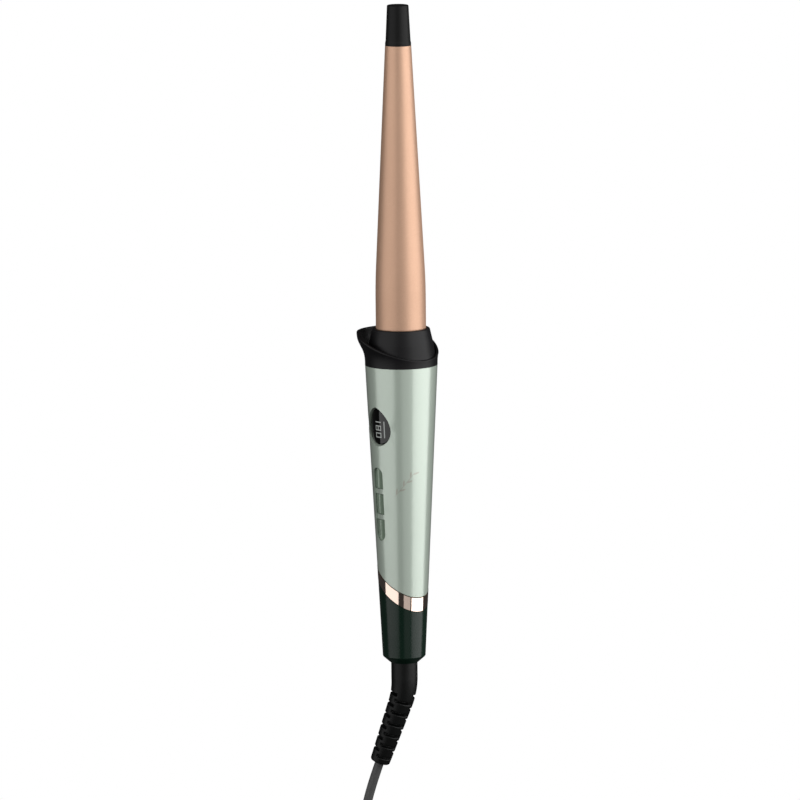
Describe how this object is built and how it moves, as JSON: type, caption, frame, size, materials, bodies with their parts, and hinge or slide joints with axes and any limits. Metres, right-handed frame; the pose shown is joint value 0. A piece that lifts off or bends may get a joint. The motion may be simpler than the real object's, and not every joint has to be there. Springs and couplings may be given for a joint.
{
  "type": "curling wand",
  "caption": "Hair curling wand: tapered heated barrel with cool tip, slanted finger guard, conical grip with display and buttons, swivelling mains cord and plug.",
  "frame": {"origin": "on the wand's axis in the middle of the grip, where a hand holds it", "axes": "+Z along the barrel towards the cool tip, -X towards the display and buttons, +Y towards the high side of the finger guard"},
  "size_m": [0.0855, 0.0417, 0.5636],
  "materials": {
    "barrel_ceramic": "satin ceramic coating, rose champagne",
    "tip_black": "fine satin",
    "collar_black": "fine satin",
    "sage_pearl": "pearl metallic lacquer",
    "sage_button": "pearl metallic lacquer",
    "deep_green": "high gloss",
    "rose_gold": "polished plating",
    "lens_black": "polished",
    "module_black": "plain",
    "board_green": "solder mask",
    "inner_plastic": "as moulded",
    "heater_white": "ceramic",
    "lead_sleeve": "silicone sleeving",
    "steel": "plain",
    "aluminium": "cast",
    "copper": "plain",
    "relief_rubber": "satin",
    "cord_black": "satin",
    "plug_black": "satin",
    "pin_metal": "nickel plate"
  },
  "bodies": {
    "root": {"barrel_tube": "barrel_ceramic", "cool_tip": "tip_black", "tip_screw": "steel", "tip_bridge": "steel", "spreader_front": "aluminium", "spreader_back": "aluminium", "spreader_spring": "steel", "heater_plate": "heater_white", "heater_leads": "lead_sleeve", "temperature_sensor": "heater_white", "thermal_fuse": "steel", "barrel_carrier": "collar_black", "carrier_screws": "steel", "collar_cone": "collar_black", "collar_guard": "collar_black", "handle_sleeve": "sage_pearl", "display_lens": "lens_black", "display_module": "module_black", "control_board": "board_green", "tact_switches": "steel", "chassis_front": "inner_plastic", "chassis_back": "inner_plastic", "chassis_screws": "steel", "power_board": "board_green", "power_components": "module_black", "joint_sleeve": "inner_plastic", "trim_ring": "rose_gold", "rear_cap": "deep_green", "swivel_housing": "inner_plastic", "contact_brushes": "copper"},
    "button_plus": {"button_plus": "sage_button"},
    "button_minus": {"button_minus": "sage_button"},
    "button_power": {"button_power": "sage_button"},
    "swivel": {"swivel_spindle": "inner_plastic", "swivel_clip": "steel", "contact_rings": "copper", "strain_relief": "relief_rubber", "cord_lead": "cord_black", "cord_coil": "cord_black", "cord_tail": "cord_black", "cord_tie": "cord_black", "plug_body": "plug_black", "plug_pins": "pin_metal", "plug_pin_sleeves": "plug_black"}
  },
  "joints": [
    {"name": "press_plus", "type": "slide", "parent": "root", "child": "button_plus", "axis": [1, 0, 0], "range_m": [0, 0.0006], "stiffness_N_per_m": 1500, "springref_m": -0.0006},
    {"name": "press_minus", "type": "slide", "parent": "root", "child": "button_minus", "axis": [1, 0, 0], "range_m": [0, 0.0006], "stiffness_N_per_m": 1500, "springref_m": -0.0006},
    {"name": "press_power", "type": "slide", "parent": "root", "child": "button_power", "axis": [1, 0, 0], "range_m": [0, 0.0006], "stiffness_N_per_m": 1500, "springref_m": -0.0006},
    {"name": "cord_swivel", "type": "hinge", "parent": "root", "child": "swivel", "pos_m": [0, 0, -0.075], "axis": [0, 0, 1], "continuous": true}
  ]
}
